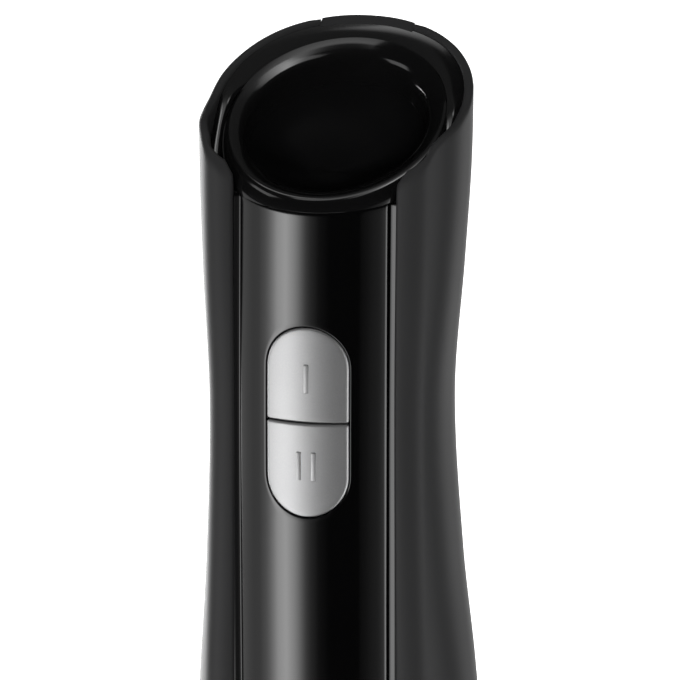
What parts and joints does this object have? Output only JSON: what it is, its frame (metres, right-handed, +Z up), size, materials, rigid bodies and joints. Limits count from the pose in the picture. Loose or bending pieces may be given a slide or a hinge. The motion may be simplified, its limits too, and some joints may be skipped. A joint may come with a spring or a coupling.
{
  "type": "immersion blender",
  "caption": "Upright hand blender with a soft-grip motor handle, glossy thumb dish, capsule speed buttons and a steel blending foot that pulls off.",
  "frame": {"origin": "on the drive axis, at the rim of the bell that the blender stands on", "axes": "+Z up along the drive axis, the speed buttons face -Y, the cord inlet faces +Y, +X is to the right of someone facing the buttons"},
  "size_m": [0.0664, 0.0666, 0.3998],
  "materials": {
    "soft_grip": "soft-touch matte",
    "gloss_black": "polished",
    "satin_silver": "satin metallic paint",
    "black_plastic": "fine texture",
    "grey_plastic": "moulded",
    "fan_plastic": "moulded nylon",
    "board_green": "solder mask",
    "film_cap": "dipped",
    "ferrite": "matte",
    "rubber_black": "matte",
    "spring_steel": "drawn wire",
    "zinc_steel": "zinc plated",
    "lamination": "stamped sheet",
    "copper": "enamelled wire",
    "bearing_steel": "ground",
    "carbon": "pressed carbon",
    "stainless": "brushed stainless",
    "bronze": "sintered bronze"
  },
  "bodies": {
    "handle": {"left_grip": "soft_grip", "right_grip": "soft_grip", "rear_spine": "soft_grip", "front_fascia": "gloss_black", "dish_cap": "gloss_black", "button_frame": "black_plastic", "button_spring_one": "spring_steel", "button_spring_two": "spring_steel", "chassis_left": "grey_plastic", "chassis_right": "grey_plastic", "chassis_screws": "zinc_steel", "cord_gland": "rubber_black", "cord_clamp": "grey_plastic", "clamp_screws": "zinc_steel", "terminal_block": "grey_plastic", "control_board": "board_green", "capacitor": "film_cap", "choke": "ferrite", "switch_one": "black_plastic", "switch_two": "black_plastic", "stator_stack": "lamination", "field_coil_front": "copper", "field_coil_rear": "copper", "lower_motor_frame": "grey_plastic", "upper_motor_frame": "grey_plastic", "lower_bearing": "bearing_steel", "upper_bearing": "bearing_steel", "brush_holder_left": "black_plastic", "brush_holder_right": "black_plastic", "brush_left": "carbon", "brush_right": "carbon", "brush_springs": "spring_steel", "motor_screws": "zinc_steel", "motor_mount": "rubber_black", "lower_collar": "black_plastic", "coupling_socket": "grey_plastic", "latch_clip": "spring_steel"},
    "button_one": {"button_one": "satin_silver"},
    "button_two": {"button_two": "satin_silver"},
    "release_button_left": {"release_button_left": "black_plastic"},
    "release_button_right": {"release_button_right": "black_plastic"},
    "armature": {"armature_shaft": "bearing_steel", "armature_core": "lamination", "armature_windings": "copper", "commutator": "copper", "cooling_fan": "fan_plastic", "drive_coupler": "fan_plastic"},
    "foot": {"foot_collar": "black_plastic", "foot_tube": "stainless", "bell_guard": "stainless", "upper_bush": "bronze", "lower_bush": "bronze", "shaft_seal": "rubber_black"},
    "blade_assembly": {"drive_shaft": "bearing_steel", "female_coupler": "fan_plastic", "blade_hub": "stainless", "blade": "stainless", "blade_nut": "zinc_steel", "circlip": "spring_steel"}
  },
  "joints": [
    {"name": "button_one_press", "type": "slide", "parent": "handle", "child": "button_one", "axis": [0, 1, 0], "range_m": [0, 0.002], "stiffness_N_per_m": 900, "deforming": ["button_spring_one"]},
    {"name": "button_two_press", "type": "slide", "parent": "handle", "child": "button_two", "axis": [0, 1, 0], "range_m": [0, 0.002], "stiffness_N_per_m": 900, "deforming": ["button_spring_two"]},
    {"name": "release_left", "type": "slide", "parent": "handle", "child": "release_button_left", "axis": [1, 0, 0], "range_m": [0, 0.0016], "stiffness_N_per_m": 900, "deforming": ["latch_clip"]},
    {"name": "release_right", "type": "slide", "parent": "handle", "child": "release_button_right", "axis": [-1, 0, 0], "range_m": [0, 0.0016], "stiffness_N_per_m": 900, "deforming": ["latch_clip"]},
    {"name": "motor_spin", "type": "hinge", "parent": "handle", "child": "armature", "pos_m": [0, 0, 0.25], "axis": [0, 0, 1], "continuous": true},
    {"name": "foot_slide", "type": "slide", "parent": "handle", "child": "foot", "axis": [0, 0, -1], "range_m": [0, 0.045], "deforming": ["latch_clip"]},
    {"name": "blade_spin", "type": "hinge", "parent": "foot", "child": "blade_assembly", "pos_m": [0, 0, 0.014], "axis": [0, 0, 1], "continuous": true}
  ],
  "couplings": [
    {"joint": "blade_spin", "follows": "motor_spin", "ratio": 1}
  ]
}
